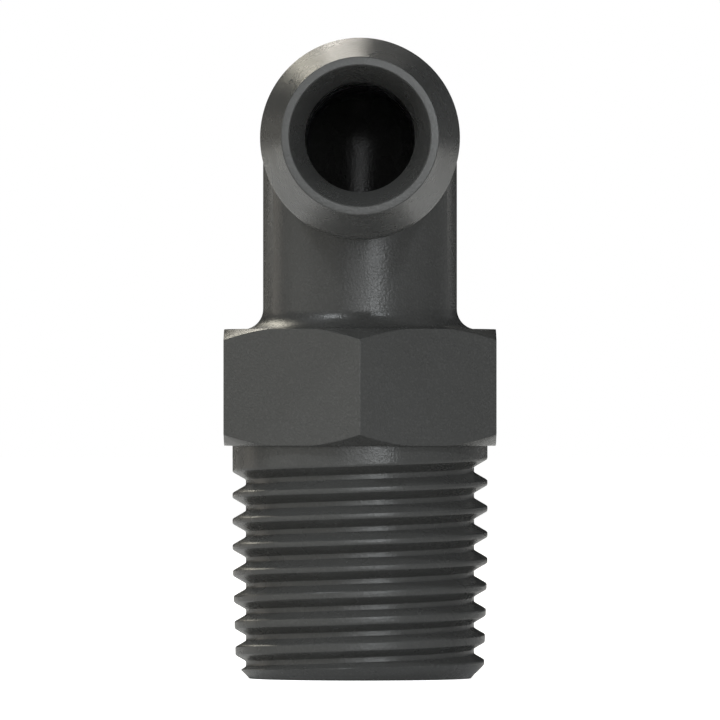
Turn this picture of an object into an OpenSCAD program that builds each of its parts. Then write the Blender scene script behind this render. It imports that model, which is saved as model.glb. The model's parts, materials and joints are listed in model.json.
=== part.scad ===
// Elbow hose connector: a tapered pipe thread below, a wrench hexagon, a round elbow and a hose tail.
// One moulded piece. Millimetres, +Z up along the thread, origin at the centre of the threaded end face.
// The hose tail points along -Y, and two flats of the hexagon face +X and -X.

/* [Pipe thread] */
// Diameter over the thread at the plain collar
thread_d = 13.157; // [12.7:0.001:13.5]
// Length from the end face to the hexagon
thread_len = 12; // [10.6:0.1:13.4]
// Rise of the thread in one turn
pitch = 1.337; // [1.26:0.001:1.42]
// Width of the flat left on each crest
crest_flat = 0.26; // [0.2:0.01:0.32]
// Width of the floor of the groove
groove_floor = 0.28; // [0.2:0.01:0.34]
// Slope of each side of the groove from the radial line
flank_angle = 30; // [27:0.5:32]
// Narrowing of the diameter over the crests for each millimetre of the tapered length
taper = 0.0625; // [0.04:0.0005:0.08]
// Length from the end face over which the crests narrow
taper_len = 6; // [4:0.05:7.6]
// Mould draft of the upper crests, on the diameter
crest_draft = 0.006; // [0.002:0.001:0.02]
// Chamfer at the start of the thread
end_chamfer = 0.7; // [0.4:0.01:0.86]
// Height of the plain collar under the hexagon
collar_h = 0.5; // [0.3:0.01:0.6]
// Depth below the hexagon at which the groove begins to run out, on the +X side
runout_drop = 1.23; // [1.15:0.01:1.5]
// Length of the run-out, in turns
runout_turns = 0.36; // [0.2:0.01:0.45]

/* [Hexagon] */
// Width across the flats
hex_af = 14; // [13.8:0.1:15.4]
// Height of the hexagon
hex_h = 6; // [4.8:0.1:7.6]
// Diameter at which the corner chamfers meet the end faces
hex_face_d = 14.15; // [13.3:0.05:14.6]
// Slope of the corner chamfers from the end faces
hex_chamfer_angle = 30; // [20:1:40]

/* [Elbow] */
// Diameter of the upright leg
leg_d = 10; // [9.7:0.1:10.6]
// Height of the hose tail's axis above the end face
axis_h = 27.45; // [26.4:0.05:30.6]
// Radius of the fillet between the hexagon and the upright leg
leg_fillet = 1.05; // [0.5:0.05:1.45]

/* [Hose tail] */
// Distance from the thread's axis to the tip of the tail
tail_reach = 22.25; // [20.7:0.05:25]
// Diameter over the barbs
barb_d = 10; // [9.95:0.05:10.4]
// Diameter of the tail's tip
tip_d = 7.85; // [7.55:0.05:8.25]
// Number of barbs
barb_count = 3; // [2:1:3]
// Length of one barb, from the foot of its cone to its back
barb_len = 4.1; // [3.7:0.05:4.2]
// Length of the flat band on each barb
barb_band = 0.25; // [0.15:0.01:0.5]
// Diameter of the shank behind the barbs
shank_d = 8; // [7.7:0.05:8.4]
// Diameter of the leg that carries the shank
shoulder_d = 9.6; // [9.1:0.05:9.65]
// Distance from the thread's axis to the hose stop at the end of that leg
shoulder_reach = 8.05; // [6.7:0.05:8.25]
// Chamfer round the hose stop
shoulder_chamfer = 0.3; // [0.1:0.01:0.4]

/* [Bores] */
// Diameter of the bore through the thread
thread_bore_d = 6; // [5.8:0.05:6.4]
// Diameter of the bore through the hose tail
tail_bore_d = 5.5; // [5.2:0.05:5.65]
// Diameter of the tail's mouth
mouth_d = 7; // [6.7:0.05:7.3]
// Depth of the taper inside the mouth
mouth_depth = 2.6; // [1.5:0.05:3.9]

/* [Hidden] */
$fn = 96;

charcoal = [0.25, 0.25, 0.25];

// Steps in one turn of the groove
groove_steps = 36;
// Overlap of shapes that join, and reach of cuts past the faces that they open
join = 0.5;

hex_z = thread_len;
leg_z = thread_len + hex_h;
leg_r = leg_d / 2;
crest_r = thread_d / 2;
groove_depth = (pitch - crest_flat - groove_floor) / (2 * tan(flank_angle));
// The groove is cut deeper outwards than it needs, as far as its turns stay apart
cutter_depth = (0.97 * pitch - groove_floor) / (2 * tan(flank_angle));
collar_z = thread_len - collar_h;

// Radius over the crests at a height in the tapered length
function taper_r(z) = crest_r - crest_draft / 2 - (taper_len - z) * taper / 2;

// A ramp from 0 to 1 that starts and ends level
function smooth(u) = u * u * (3 - 2 * u);

// Radius of the groove's floor, in turns past the start of the run-out
function floor_r(turn) =
    crest_r - groove_depth
    + (turn <= 0 ? 0 : smooth(min(1, turn / runout_turns)) * 1.15 * groove_depth);

// The four corners of the groove's section at a turn: two at the floor, then two outside the crests
function groove_ring(turn) =
    let (
        r = floor_r(turn),
        z = hex_z - runout_drop + pitch * turn,
        half_floor = groove_floor / 2,
        half_mouth = half_floor + cutter_depth * tan(flank_angle)
    )
    [
        for (corner = [[r, -half_floor], [r, half_floor],
                       [r + cutter_depth, half_mouth], [r + cutter_depth, -half_mouth]])
            [corner[0] * cos(360 * turn), corner[0] * sin(360 * turn), z + corner[1]]
    ];

// Turned blank of the thread: end chamfer, tapered length, upper crests and plain collar
module thread_blank() {
    rotate_extrude()
        polygon([
            [0, 0],
            [taper_r(end_chamfer) - end_chamfer, 0],
            [taper_r(end_chamfer), end_chamfer],
            [taper_r(taper_len), taper_len],
            [crest_r, collar_z],
            [crest_r, hex_z + join],
            [0, hex_z + join]
        ]);
}

// Right-hand helical groove, from below the end face up to its run-out beside the collar
module thread_groove() {
    turns_down = (hex_z - runout_drop + pitch) / pitch;
    rings = ceil((turns_down + runout_turns) * groove_steps);
    points = [
        for (i = [0 : rings])
            each groove_ring(runout_turns - (turns_down + runout_turns) * (1 - i / rings))
    ];
    sides = [
        for (i = [0 : rings - 1], k = [0 : 3])
            let (a = 4 * i + k, b = 4 * i + (k + 1) % 4)
            each [[a, a + 4, b + 4], [a, b + 4, b]]
    ];
    last = 4 * rings;
    caps = [[0, 1, 2, 3], [last + 3, last + 2, last + 1, last]];
    polyhedron(points = points, faces = concat(sides, caps), convexity = 10);
}

module pipe_thread() {
    difference() {
        thread_blank();
        thread_groove();
    }
}

// Wrench hexagon with its corners chamfered at both ends
module hexagon() {
    corner_r = hex_af / 2 / cos(30);
    rise = (corner_r + join - hex_face_d / 2) * tan(hex_chamfer_angle);
    translate([0, 0, hex_z])
        intersection() {
            rotate(30) cylinder(r = corner_r, h = hex_h, $fn = 6);
            rotate_extrude()
                polygon([
                    [0, 0],
                    [hex_face_d / 2, 0],
                    [corner_r + join, rise],
                    [corner_r + join, hex_h - rise],
                    [hex_face_d / 2, hex_h],
                    [0, hex_h]
                ]);
        }
}

// Upright leg, filleted on the hexagon, with a domed head round the elbow
module upright_leg() {
    rotate_extrude()
        union() {
            translate([0, hex_z + hex_h / 2]) square([leg_r, axis_h - hex_z - hex_h / 2]);
            translate([0, leg_z])
                difference() {
                    square([leg_r + leg_fillet, leg_fillet]);
                    translate([leg_r + leg_fillet, leg_fillet]) circle(r = leg_fillet);
                }
            translate([0, axis_h])
                intersection() {
                    circle(r = leg_r);
                    square(leg_r);
                }
        }
}

// Runs a profile of radius and reach round the hose tail's axis, towards -Y
module about_tail_axis() {
    translate([0, 0, axis_h]) rotate([90, 0, 0]) rotate_extrude() children();
}

// Hose tail: the short leg with its hose stop, the shank, and the barbs that narrow towards the tip
module hose_tail() {
    barb_r = barb_d / 2;
    // Each barb from its back to the foot of its cone, and the foot of the foremost one is the tip
    barbs = [
        for (i = [barb_count - 1 : -1 : 0])
            let (back = tail_reach - (i + 1) * barb_len, foot_r = i == 0 ? tip_d / 2 : shank_d / 2)
            each [[barb_r, back], [barb_r, back + barb_band], [foot_r, back + barb_len]]
    ];
    about_tail_axis()
        polygon(concat(
            [
                [0, 0],
                [shoulder_d / 2, 0],
                [shoulder_d / 2, shoulder_reach - shoulder_chamfer],
                [shoulder_d / 2 - shoulder_chamfer, shoulder_reach],
                [shank_d / 2, shoulder_reach],
                [shank_d / 2, tail_reach - barb_count * barb_len]
            ],
            barbs,
            [[0, tail_reach]]
        ));
}

// Bore up the thread, domed behind the elbow
module thread_bore() {
    bore_r = thread_bore_d / 2;
    rotate_extrude()
        union() {
            translate([0, -join]) square([bore_r, axis_h + join]);
            translate([0, axis_h])
                intersection() {
                    circle(r = bore_r);
                    square(bore_r);
                }
        }
}

// Bore of the hose tail, with a tapered mouth
module tail_bore() {
    slope = (mouth_d - tail_bore_d) / 2 / mouth_depth;
    about_tail_axis()
        polygon([
            [0, 0],
            [tail_bore_d / 2, 0],
            [tail_bore_d / 2, tail_reach - mouth_depth],
            [mouth_d / 2 + slope * join, tail_reach + join],
            [0, tail_reach + join]
        ]);
}

module elbow_body() {
    color(charcoal)
        difference() {
            union() {
                pipe_thread();
                hexagon();
                upright_leg();
                hose_tail();
            }
            thread_bore();
            tail_bore();
        }
}

elbow_body();
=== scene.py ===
"""Elbow hose connector: one black plastic moulding with a pipe thread, a hexagon, an elbow and a hose tail."""

import json
import math

import bpy
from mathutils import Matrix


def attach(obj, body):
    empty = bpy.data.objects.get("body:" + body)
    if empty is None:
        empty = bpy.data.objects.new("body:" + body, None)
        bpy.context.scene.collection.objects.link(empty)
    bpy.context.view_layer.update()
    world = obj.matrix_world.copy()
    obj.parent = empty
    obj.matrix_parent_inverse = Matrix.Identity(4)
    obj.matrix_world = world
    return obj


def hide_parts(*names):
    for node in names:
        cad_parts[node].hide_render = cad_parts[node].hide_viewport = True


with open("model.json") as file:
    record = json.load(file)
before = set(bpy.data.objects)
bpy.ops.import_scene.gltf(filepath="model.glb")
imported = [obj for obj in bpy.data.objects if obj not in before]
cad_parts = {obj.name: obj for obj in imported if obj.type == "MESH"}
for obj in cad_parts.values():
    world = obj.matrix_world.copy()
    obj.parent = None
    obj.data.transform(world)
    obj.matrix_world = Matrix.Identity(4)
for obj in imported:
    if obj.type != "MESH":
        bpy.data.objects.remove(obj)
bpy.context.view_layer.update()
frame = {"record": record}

# Threaded spigot
# The lower end screws into a tapped hole: a right-hand 60 degree thread whose crests narrow towards the end.
# It is moulded in one with the rest, so it is made closed here and joined to the hexagon further down.
mm = 0.001
mounts = {mount["name"]: mount for mount in frame["record"]["mounts"]}
thread_radius = mounts["thread_collar"]["dims"]["r_mm"] * mm
thread_length = mounts["pipe_thread"]["dims"]["length_mm"] * mm
thread_pitch = 1.337 * mm
crest_flat = 0.26 * mm
groove_floor = 0.28 * mm
flank_slope = math.tan(math.radians(30))
crest_taper = 0.0625
taper_length = 6 * mm
end_chamfer = 0.7 * mm
runout_drop = 1.23 * mm
runout_turns = 0.36
runout_rise = 1.15
thread_rounding = 0.1 * mm
thread_seam = 0.002 * mm
join = 0.4 * mm


class FieldTree:
    """Geometry Nodes of one piece: keeps its named inputs and places its arithmetic."""

    def __init__(self, name):
        self.tree = bpy.data.node_groups.new(name, "GeometryNodeTree")
        self.tree.interface.new_socket("Geometry", in_out="OUTPUT", socket_type="NodeSocketGeometry")
        self.settings = {}
        self.source = self.tree.nodes.new("NodeGroupInput")

    def named_input(self, name, value, kind="NodeSocketFloat"):
        """Adds an input to the tree and keeps the value that this piece gives it."""
        socket = self.tree.interface.new_socket(name, in_out="INPUT", socket_type=kind)
        self.settings[socket.identifier] = value
        return self.source.outputs[name]

    def node(self, kind, inputs=(), **properties):
        made = self.tree.nodes.new(kind)
        for key, value in properties.items():
            setattr(made, key, value)
        for place, value in inputs:
            self.feed(made.inputs[place], value)
        return made

    def feed(self, socket, value):
        if isinstance(value, bpy.types.NodeSocket):
            self.tree.links.new(value, socket)
        else:
            socket.default_value = value

    def calculate(self, operation, *values):
        """One step of arithmetic on numbers and sockets."""
        made = self.tree.nodes.new("ShaderNodeMath")
        made.operation = operation
        for socket, value in zip(made.inputs, values):
            self.feed(socket, value)
        return made.outputs[0]

    def finish(self, geometry, material):
        """Ends the tree in real geometry with its material."""
        real = self.node("GeometryNodeRealizeInstances", [(0, geometry)])
        painted = self.node("GeometryNodeSetMaterial", [(0, real.outputs[0]), (2, material)])
        self.feed(self.node("NodeGroupOutput").inputs[0], painted.outputs[0])

    def mesh(self, name):
        """Runs the tree on an empty mesh and returns the result as a plain mesh."""
        carrier = bpy.data.objects.new(name, bpy.data.meshes.new(name))
        bpy.context.scene.collection.objects.link(carrier)
        modifier = carrier.modifiers.new(name, "NODES")
        modifier.node_group = self.tree
        for identifier, value in self.settings.items():
            modifier[identifier] = value
        bpy.context.view_layer.update()
        evaluated = carrier.evaluated_get(bpy.context.evaluated_depsgraph_get())
        made = bpy.data.meshes.new_from_object(evaluated)
        bpy.data.objects.remove(carrier)
        return made


def thread_tree(plastic):
    """A grid bent round the axis, whose rows climb with the thread and whose radius follows the groove."""
    field = FieldTree("thread")
    columns = field.named_input("Columns", 168, "NodeSocketInt")
    turn_rows = field.named_input("Rows in a turn", 22, "NodeSocketInt")
    top = field.named_input("Height", thread_length + join)
    crest = field.named_input("Crest radius", thread_radius)
    pitch = field.named_input("Pitch", thread_pitch)
    flat = field.named_input("Crest flat", crest_flat)
    floor = field.named_input("Groove floor", groove_floor)
    slope = field.named_input("Flank slope", flank_slope)
    taper = field.named_input("Taper", crest_taper)
    tapered = field.named_input("Tapered length", taper_length)
    chamfer = field.named_input("End chamfer", end_chamfer)
    start = field.named_input("Run-out height", thread_length - runout_drop)
    fading = field.named_input("Run-out turns", runout_turns)
    rounding = field.named_input("Edge rounding", thread_rounding)
    material = field.named_input("Material", plastic, "NodeSocketMaterial")
    do = field.calculate

    # Rows and columns, with both ends of a row one turn apart so that the seam closes
    rows = do("ADD", do("CEIL", do("MULTIPLY", do("DIVIDE", do("ADD", top, pitch), pitch), turn_rows)), 2.0)
    grid = field.node("GeometryNodeMeshGrid", [
        ("Size X", 1.0), ("Size Y", 1.0),
        ("Vertices X", do("ADD", columns, 1)), ("Vertices Y", do("ADD", rows, 1)),
    ])
    place = field.node("ShaderNodeSeparateXYZ", [(0, field.node("GeometryNodeInputPosition").outputs[0])])
    turn = do("ADD", place.outputs["X"], 0.5)
    row = do("MULTIPLY", do("ADD", place.outputs["Y"], 0.5), rows)
    climb = do("ADD", do("DIVIDE", do("SUBTRACT", row, 1.0), turn_rows), do("SUBTRACT", turn, 1.0))
    height = do("MINIMUM", do("MAXIMUM", do("MULTIPLY", climb, pitch), 0.0), top)

    # Distance to the middle of the nearest turn of the groove, and how far up the groove that turn is
    turns_up = do("SUBTRACT", do("DIVIDE", do("SUBTRACT", height, start), pitch), turn)
    nearest = do("ROUND", turns_up)
    aside = do("MULTIPLY", do("ABSOLUTE", do("SUBTRACT", turns_up, nearest)), pitch)
    along = do("ADD", nearest, turn)

    # Floor of the groove, which rises by more than the groove's depth over the run-out, and so out of the surface
    depth = do("DIVIDE", do("SUBTRACT", do("SUBTRACT", pitch, flat), floor), do("MULTIPLY", slope, 2.0))
    share = field.node("ShaderNodeMapRange", [
        ("Value", along), ("From Max", fading), ("To Max", runout_rise),
    ], interpolation_type="SMOOTHSTEP").outputs["Result"]
    groove = do("ADD", do("SUBTRACT", crest, depth), do("MULTIPLY", depth, share))
    flank = do("ADD", groove, do("DIVIDE", do("SUBTRACT", aside, do("MULTIPLY", floor, 0.5)), slope))
    cut = do("SMOOTH_MAX", groove, flank, rounding)

    # Turned outline that the groove is cut into
    lean = do("MULTIPLY", taper, 0.5)
    narrowed = do("SUBTRACT", crest, do("MULTIPLY", do("SUBTRACT", tapered, height), lean))
    chamfer_top = do("SUBTRACT", crest, do("MULTIPLY", do("SUBTRACT", tapered, chamfer), lean))
    chamfered = do("ADD", do("SUBTRACT", chamfer_top, chamfer), height)
    blank = do("SMOOTH_MIN", do("MINIMUM", narrowed, crest), chamfered, rounding)
    radius = do("SMOOTH_MIN", cut, blank, rounding)

    # The first and last row close the ends on the axis
    inside = do("MULTIPLY", do("GREATER_THAN", row, 0.5), do("LESS_THAN", row, do("SUBTRACT", rows, 0.5)))
    reach = do("MULTIPLY", radius, inside)
    angle = do("MULTIPLY", turn, math.tau)
    bent = field.node("ShaderNodeCombineXYZ", [
        ("X", do("MULTIPLY", reach, do("COSINE", angle))),
        ("Y", do("MULTIPLY", reach, do("SINE", angle))),
        ("Z", height),
    ])
    shaped = field.node("GeometryNodeSetPosition", [
        ("Geometry", grid.outputs["Mesh"]), ("Position", bent.outputs[0]),
    ])
    closed = field.node("GeometryNodeMergeByDistance", [
        ("Geometry", shaped.outputs[0]), ("Distance", thread_seam),
    ])
    field.finish(closed.outputs[0], material)
    return field


# Hexagon and upright leg
# A spanner turns the fitting by the hexagon, whose corners are chamfered at both ends. The round leg rises from
# it out of a fillet and ends in a domed head, behind the elbow. Its edges have the small radius of the mould.
hex_flats = mounts["wrench_flat_right"]["pos_m"][0] - mounts["wrench_flat_left"]["pos_m"][0]
hex_height = 6 * mm
hex_face_radius = 7.075 * mm
chamfer_slope = math.tan(math.radians(30))
hex_edge = 0.06 * mm
hex_corner = 0.035 * mm
leg_radius = 5 * mm
leg_fillet = 1.05 * mm
axis_height = mounts["hose_barb"]["pos_m"][2]


def arc(centre, radius, first, last, steps):
    """Points of an arc in an outline, from one angle to another in degrees."""
    angles = [math.radians(first + (last - first) * i / steps) for i in range(steps + 1)]
    return [(centre[0] + radius * math.cos(a), centre[1] + radius * math.sin(a)) for a in angles]


def eased(corners, radius, steps=4):
    """An outline with each inner corner rounded, by no more than its neighbours leave room for."""
    points = [corners[0]]
    for before, corner, after in zip(corners, corners[1:], corners[2:]):
        arms = [(p[0] - corner[0], p[1] - corner[1]) for p in (before, after)]
        lengths = [math.hypot(*arm) for arm in arms]
        if min(lengths) < 1e-9:
            continue
        units = [(arm[0] / length, arm[1] / length) for arm, length in zip(arms, lengths)]
        cosine = units[0][0] * units[1][0] + units[0][1] * units[1][1]
        half = math.acos(max(-1.0, min(1.0, cosine))) / 2
        cut = min(radius / math.tan(half), 0.45 * min(lengths))
        ends = [(corner[0] + unit[0] * cut, corner[1] + unit[1] * cut) for unit in units]
        for i in range(steps + 1):
            t = i / steps
            weights = ((1 - t) ** 2, 2 * t * (1 - t), t ** 2)
            points.append(tuple(
                weights[0] * ends[0][k] + weights[1] * corner[k] + weights[2] * ends[1][k] for k in (0, 1)
            ))
    points.append(corners[-1])
    return points


def wrapped(name, section, angles):
    """A closed mesh round the Z axis. section(angle) gives its outline from the lower pole to the upper one."""
    outlines = [section(angle)[1:-1] for angle in angles]
    rows = len(outlines[0])
    vertices = [
        (radius * math.cos(angle), radius * math.sin(angle), height)
        for angle, outline in zip(angles, outlines)
        for radius, height in outline
    ]
    poles = [section(angles[0])[0], section(angles[0])[-1]]
    vertices += [(0, 0, pole[1]) for pole in poles]
    low, high = len(vertices) - 2, len(vertices) - 1
    faces = []
    for i in range(len(angles)):
        here, there = i * rows, (i + 1) % len(angles) * rows
        faces.append((low, there, here))
        faces += [(here + j, there + j, there + j + 1, here + j + 1) for j in range(rows - 1)]
        faces.append((high, here + rows - 1, there + rows - 1))
    mesh = bpy.data.meshes.new(name)
    mesh.from_pydata(vertices, [], faces)
    return mesh


def hexagon_radius(angle):
    """Distance from the axis to the side of the hexagon, whose upright corners are rounded."""
    half_side = math.radians(30)
    from_corner = angle % (2 * half_side) - half_side
    corner_radius = hex_flats / 2 / math.cos(half_side)
    arc_centre = corner_radius - hex_corner / math.cos(half_side)
    arc_end = math.atan2(hex_corner * math.sin(half_side), arc_centre + hex_corner * math.cos(half_side))
    if abs(from_corner) < arc_end:
        across = arc_centre * math.sin(from_corner)
        return arc_centre * math.cos(from_corner) + math.sqrt(hex_corner ** 2 - across ** 2)
    return hex_flats / 2 / math.cos(half_side - abs(from_corner))


def upright_section(angle):
    """Outline of the hexagon, the fillet, the leg and its domed head at one angle round the axis."""
    side = hexagon_radius(angle)
    # In the middle of a flat the end face reaches the side, and only the small edge is left of the chamfer
    face = min(hex_face_radius, side - hex_edge / 2)
    rise = (side - face) * chamfer_slope
    bottom, top = thread_length, thread_length + hex_height
    hexagon = eased([
        (0, bottom), (face, bottom), (side, bottom + rise),
        (side, top - rise), (face, top), (leg_radius + leg_fillet, top),
    ], hex_edge)
    fillet = arc((leg_radius + leg_fillet, top + leg_fillet), leg_fillet, 270, 180, 12)
    head = arc((0, axis_height), leg_radius, 0, 90, 24)
    return hexagon[:-1] + fillet + head


# Degrees round the hexagon from each corner: close together at the corner and even along the flat that follows
corner_steps = [-0.3, -0.2, -0.1, 0, 0.1, 0.2, 0.3]
flat_steps = 26
flat_span = 60 - 2 * corner_steps[-1]
side_steps = corner_steps + [corner_steps[-1] + flat_span * i / flat_steps for i in range(1, flat_steps)]
hex_angles = [math.radians(60 * side + 30 + step) for side in range(6) for step in side_steps]


# Hose tail
# The hose is pushed on over the tail up to the stop and gripped by the barbs, each a cone with a short flat band.
# The tail is turned on its own axis here, from the elbow to the tip, and laid over towards the front afterwards.
barb_mount = mounts["hose_barb"]
barb_radius = barb_mount["dims"]["r_mm"] * mm
barb_band = 0.25 * mm
barb_pitch = 4.1 * mm
first_band = -barb_mount["pos_m"][1]
tip_reach = first_band + barb_pitch - barb_band
tip_radius = 3.925 * mm
shank_radius = 4 * mm
stop_radius = 4.8 * mm
stop_reach = 8.05 * mm
stop_chamfer = 0.3 * mm
barb_edge = 0.07 * mm
round_steps = 144


def turned(name, outline):
    """A closed mesh turned round the Z axis from an outline of radius and height, from pole to pole."""
    angles = [math.tau * i / round_steps for i in range(round_steps)]
    return wrapped(name, lambda angle: outline, angles)


def laid_over(mesh):
    """Turns a mesh made up the Z axis to lie along the hose tail's axis, towards the front."""
    for vertex in mesh.vertices:
        x, y, z = vertex.co
        vertex.co = (x, -z, axis_height + y)
    return mesh


barb_count = round(barb_mount["dims"]["length_mm"] * mm / barb_pitch) + 1
tail_corners = [
    (0, 0), (stop_radius, 0), (stop_radius, stop_reach - stop_chamfer),
    (stop_radius - stop_chamfer, stop_reach), (shank_radius, stop_reach),
    (shank_radius, tip_reach - barb_count * barb_pitch),
]
for barb in reversed(range(barb_count)):
    back = tip_reach - (barb + 1) * barb_pitch
    foot = tip_radius if barb == 0 else shank_radius
    tail_corners += [(barb_radius, back), (barb_radius, back + barb_band), (foot, back + barb_pitch)]
tail_corners.append((0, tip_reach))

# Bores
# Two core pins leave the passage: one up the thread, domed behind the elbow, and one along the hose tail, which
# meets it there and widens to a tapered mouth with a softened lip.
thread_bore_radius = mounts["thread_bore"]["dims"]["r_mm"] * mm
tail_bore_radius = mounts["tail_bore"]["dims"]["r_mm"] * mm
mouth_radius = 3.5 * mm
mouth_depth = 2.6 * mm
lip = 0.06 * mm
thread_core = [(0, -join), (thread_bore_radius, -join)] + arc((0, axis_height), thread_bore_radius, 0, 90, 20)
tail_core = eased([
    (0, 0), (tail_bore_radius, 0), (tail_bore_radius, tip_reach - mouth_depth),
    (mouth_radius, tip_reach - lip), (mouth_radius + lip, tip_reach),
    (mouth_radius + lip + join, tip_reach + join), (0, tip_reach + join),
], lip)

# Black plastic
# A glass-filled plastic as it leaves the mould: near black, with a satin skin that the fibres leave finely grained.
# The grain lifts the skin a little and has paler flecks, and a broad cloud makes it shinier in some places.
plastic_colour = (0.043, 0.043, 0.0415, 1.0)
plastic_fleck = (0.056, 0.0555, 0.054, 1.0)
plastic_roughness = 0.27
plastic_shine = 0.24
grain_scale = 8000.0
grain_height = 0.017 * mm
grain_strength = 0.9
cloud_scale = 420.0


class Shader:
    """Nodes of one material or world, placed and linked by short calls."""

    def __init__(self, tree):
        self.tree = tree

    def node(self, kind, inputs=(), **properties):
        made = self.tree.nodes.new(kind)
        for key, value in properties.items():
            setattr(made, key, value)
        for place, value in inputs:
            if isinstance(value, bpy.types.NodeSocket):
                self.tree.links.new(value, made.inputs[place])
            else:
                made.inputs[place].default_value = value
        return made


def black_plastic():
    material = bpy.data.materials.new("black_plastic")
    material.use_nodes = True
    material.node_tree.nodes.clear()
    shader = Shader(material.node_tree)
    place = shader.node("ShaderNodeTexCoord").outputs["Object"]
    grain = shader.node("ShaderNodeTexNoise", [
        ("Vector", place), ("Scale", grain_scale), ("Detail", 2.0), ("Roughness", 0.5),
    ]).outputs["Fac"]
    cloud = shader.node("ShaderNodeTexNoise", [
        ("Vector", place), ("Scale", cloud_scale), ("Detail", 4.0), ("Roughness", 0.55),
    ]).outputs["Fac"]
    fleck = shader.node("ShaderNodeMapRange", [("Value", grain), ("From Min", 0.52), ("From Max", 0.75)])
    colour = shader.node("ShaderNodeMix", [
        ("Factor", fleck.outputs["Result"]), (6, plastic_colour), (7, plastic_fleck),
    ], data_type="RGBA")
    rough = shader.node("ShaderNodeMapRange", [
        ("Value", cloud), ("From Min", 0.3), ("From Max", 0.7),
        ("To Min", plastic_roughness - 0.04), ("To Max", plastic_roughness + 0.05),
    ])
    bump = shader.node("ShaderNodeBump", [
        ("Height", grain), ("Strength", grain_strength), ("Distance", grain_height),
    ])
    surface = shader.node("ShaderNodeBsdfPrincipled", [
        ("Base Color", colour.outputs[2]), ("Roughness", rough.outputs["Result"]),
        ("Normal", bump.outputs["Normal"]), ("IOR", 1.5), ("Specular IOR Level", plastic_shine),
    ])
    shader.node("ShaderNodeOutputMaterial", [("Surface", surface.outputs[0])])
    return material


# The moulding
# Everything above is one moulding: thread, hexagon with its leg, and hose tail are joined, then bored through.
smooth_below = math.radians(32)
plastic = black_plastic()


def solid(name, mesh):
    made = bpy.data.objects.new(name, mesh)
    bpy.context.scene.collection.objects.link(made)
    return made


def combine(base, other, operation):
    """Joins a closed mesh to another or cuts it away, and keeps the result as the first one's plain mesh."""
    modifier = base.modifiers.new(operation, "BOOLEAN")
    modifier.object = other
    modifier.operation = operation
    modifier.solver = "MANIFOLD"
    evaluated = base.evaluated_get(bpy.context.evaluated_depsgraph_get())
    base.data = bpy.data.meshes.new_from_object(evaluated)
    base.modifiers.clear()
    bpy.data.objects.remove(other)


connector = solid("connector", wrapped("connector", upright_section, hex_angles))
combine(connector, solid("spigot", thread_tree(plastic).mesh("spigot")), "UNION")
combine(connector, solid("tail", laid_over(turned("tail", eased(tail_corners, barb_edge)))), "UNION")
combine(connector, solid("thread_core", turned("thread_core", thread_core)), "DIFFERENCE")
combine(connector, solid("tail_core", laid_over(turned("tail_core", tail_core))), "DIFFERENCE")
connector.data.materials.clear()
connector.data.materials.append(plastic)
connector.data.shade_smooth()
connector.data.set_sharp_from_angle(angle=smooth_below)
even = connector.modifiers.new("even_normals", "WEIGHTED_NORMAL")
even.keep_sharp = True
evaluated = connector.evaluated_get(bpy.context.evaluated_depsgraph_get())
connector.data = bpy.data.meshes.new_from_object(evaluated)
connector.modifiers.clear()
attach(connector, "root")
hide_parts("elbow_body")

# Camera
# It stands far off and low on the hose tail's side and looks level along +Y, at the height of the hexagon. The
# picture is shifted up from there, to the middle of the fitting.
frame_width = 37.15 * mm
frame_middle = 16.42 * mm
camera_distance = 594 * mm
camera_height = 13.6 * mm
camera = bpy.data.objects.new("camera", bpy.data.cameras.new("camera"))
camera.location = (0, -camera_distance, camera_height)
camera.rotation_euler = (math.radians(90), 0, 0)
camera.data.lens = camera.data.sensor_width * camera_distance / frame_width
camera.data.shift_y = (frame_middle - camera_height) / frame_width
camera.data.clip_start = 10 * mm
camera.data.clip_end = 50
bpy.context.scene.collection.objects.link(camera)
bpy.context.scene.camera = camera

# Floor and background
# A plain white floor and world. Only the camera sees them at full white: they mirror dimly in the plastic, the
# world lights it weakly and the floor's own glow not at all. The floor keeps the object's shadow.
floor_size = 6.0
floor_colour = (0.8, 0.8, 0.8, 1.0)
floor_seen = 0.92
floor_mirrored = 0.1
world_seen = 1.0
world_mirrored = 0.25
world_light = 0.2
white = (1.0, 1.0, 1.0, 1.0)
floor_mesh = bpy.data.meshes.new("floor")
edge = floor_size / 2
floor_mesh.from_pydata([(-edge, -edge, 0), (edge, -edge, 0), (edge, edge, 0), (-edge, edge, 0)], [], [(0, 1, 2, 3)])
floor = solid("floor", floor_mesh)


def seen_level(shader, as_light, mirrored, seen):
    """Strength of a white glow: as a source of light, in a reflection or through glass, and for the camera."""
    path = shader.node("ShaderNodeLightPath")
    indirect = shader.node("ShaderNodeMath", [
        (0, path.outputs["Is Glossy Ray"]), (1, path.outputs["Is Transmission Ray"]),
    ], operation="MAXIMUM")
    unseen = shader.node("ShaderNodeMix", [(0, indirect.outputs[0]), (2, as_light), (3, mirrored)])
    level = shader.node("ShaderNodeMix", [(0, path.outputs["Is Camera Ray"]), (2, unseen.outputs[0]), (3, seen)])
    return level.outputs[0]


def white_floor():
    material = bpy.data.materials.new("white_floor")
    material.use_nodes = True
    material.node_tree.nodes.clear()
    shader = Shader(material.node_tree)
    matt = shader.node("ShaderNodeBsdfDiffuse", [("Color", floor_colour)])
    glow = shader.node("ShaderNodeEmission", [
        ("Color", white), ("Strength", seen_level(shader, 0.0, floor_mirrored, floor_seen)),
    ])
    both = shader.node("ShaderNodeAddShader", [(0, matt.outputs[0]), (1, glow.outputs[0])])
    shader.node("ShaderNodeOutputMaterial", [("Surface", both.outputs[0])])
    return material


floor.data.materials.append(white_floor())
world = bpy.data.worlds.new("studio")
world.use_nodes = True
world.node_tree.nodes.clear()
bpy.context.scene.world = world
sky = Shader(world.node_tree)
sky_glow = sky.node("ShaderNodeBackground", [
    ("Color", white), ("Strength", seen_level(sky, world_light, world_mirrored, world_seen)),
])
sky.node("ShaderNodeOutputWorld", [("Surface", sky_glow.outputs[0])])

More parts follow.
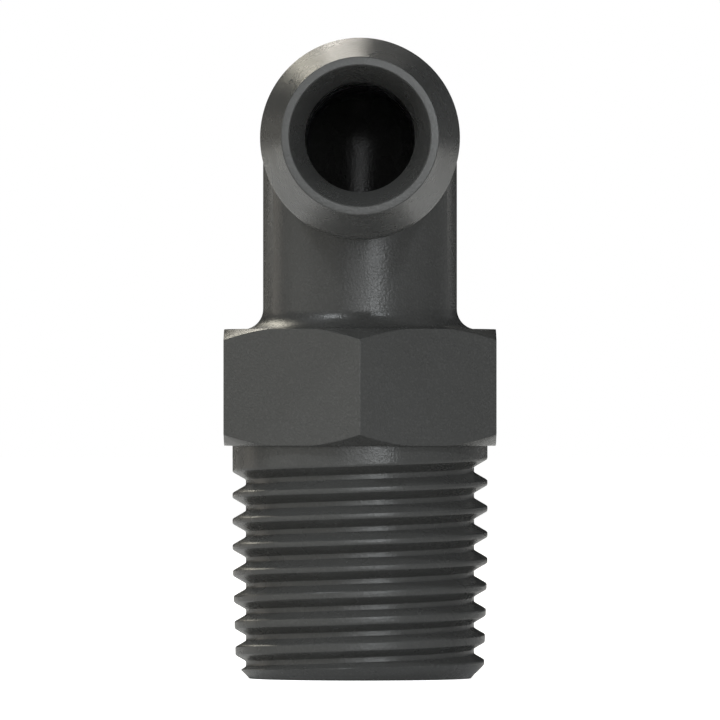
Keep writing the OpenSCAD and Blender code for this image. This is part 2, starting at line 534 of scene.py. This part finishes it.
# Dark backdrop
# A matt wall, bent in a half circle behind the object and hidden from the camera. It is nearly black, to keep the
# white world out of the edges of the plastic.
wall_radius = 1.0
wall_height = 1.1
wall_colour = (0.05, 0.05, 0.05, 1.0)
wall_first, wall_last, wall_steps = -5, 185, 38
wall_points = arc((0, 0), wall_radius, wall_first, wall_last, wall_steps)
wall_mesh = bpy.data.meshes.new("backdrop")
wall_mesh.from_pydata(
    [(x, y, z) for x, y in wall_points for z in (0, wall_height)], [],
    [(2 * i, 2 * i + 2, 2 * i + 3, 2 * i + 1) for i in range(wall_steps)],
)
wall = solid("backdrop", wall_mesh)
wall.visible_camera = False


def dark_wall():
    material = bpy.data.materials.new("dark_wall")
    material.use_nodes = True
    material.node_tree.nodes.clear()
    shader = Shader(material.node_tree)
    matt = shader.node("ShaderNodeBsdfDiffuse", [("Color", wall_colour)])
    shader.node("ShaderNodeOutputMaterial", [("Surface", matt.outputs[0])])
    return material


wall.data.materials.append(dark_wall())

# Studio light
# Soft lamps low in front and on the left model the faces, small cool ones higher up in front and warm ones high
# behind draw the bright spots and rims. All stand round the fitting at one distance and aim near its middle.
aim = (0, -8 * mm, 18 * mm)
lamp_distance = 0.6
lamps = [
    # name, azimuth from the front, elevation, width, height, watts, colour
    ("front_low", -2, 4, 0.25, 0.25, 0.81, (0.97, 0.99, 1.0)),
    ("front_right", 18, 5, 0.16, 0.27, 0.54, (0.95, 0.98, 1.0)),
    ("front_slit", 22, 7, 0.07, 0.20, 0.50, (0.94, 0.98, 1.0)),
    ("front_edge", 13, 1, 0.09, 0.14, 0.38, (0.94, 0.98, 1.0)),
    ("front_high", -3, 31, 0.24, 0.24, 0.13, (0.95, 0.98, 1.0)),
    ("front_small", 23, 33, 0.05, 0.05, 0.92, (0.92, 0.97, 1.0)),
    ("right_far", 130, 10, 0.30, 0.30, 0.06, (0.97, 0.99, 1.0)),
    ("left_high", -34, 40, 0.26, 0.26, 0.38, (0.93, 0.97, 1.0)),
    ("left_small", -41, 45, 0.07, 0.07, 1.02, (0.92, 0.97, 1.0)),
    ("left_top", -60, 60, 0.30, 0.30, 0.32, (0.92, 0.97, 1.0)),
    ("left_low", -46, 8, 0.46, 0.20, 0.32, (1.0, 0.97, 0.86)),
    ("left_side", -80, 5, 0.34, 0.20, 0.33, (1.0, 0.99, 0.90)),
    ("side", -120, 8, 0.22, 0.22, 0.21, (1.0, 0.92, 0.80)),
    ("left_back", -149, 4, 0.16, 0.12, 0.014, (1.0, 0.93, 0.82)),
    ("back_broad", -144, 37, 0.22, 0.18, 0.94, (1.0, 0.95, 0.80)),
    ("back_low", -161, 25, 0.12, 0.06, 0.05, (1.0, 0.94, 0.80)),
    ("back_high", -162, 38, 0.09, 0.10, 0.24, (1.0, 0.95, 0.84)),
    ("back_small", -175, 30, 0.11, 0.08, 0.20, (1.0, 0.95, 0.86)),
    ("back_right", 171, 29, 0.16, 0.10, 0.012, (1.0, 0.97, 0.90)),
]
for name, azimuth, elevation, width, height, watts, colour in lamps:
    light = bpy.data.lights.new(name, "AREA")
    light.shape = "RECTANGLE"
    light.size = width
    light.size_y = height
    light.energy = watts
    light.color = colour
    lamp = bpy.data.objects.new(name, light)
    a, e = math.radians(azimuth), math.radians(elevation)
    away = (math.sin(a) * math.cos(e), -math.cos(a) * math.cos(e), math.sin(e))
    lamp.location = [aim[i] + away[i] * lamp_distance for i in range(3)]
    lamp.rotation_euler = (math.pi / 2 - e, 0, a)
    lamp.visible_camera = False
    bpy.context.scene.collection.objects.link(lamp)

bpy.context.scene.view_settings.view_transform = "Standard"
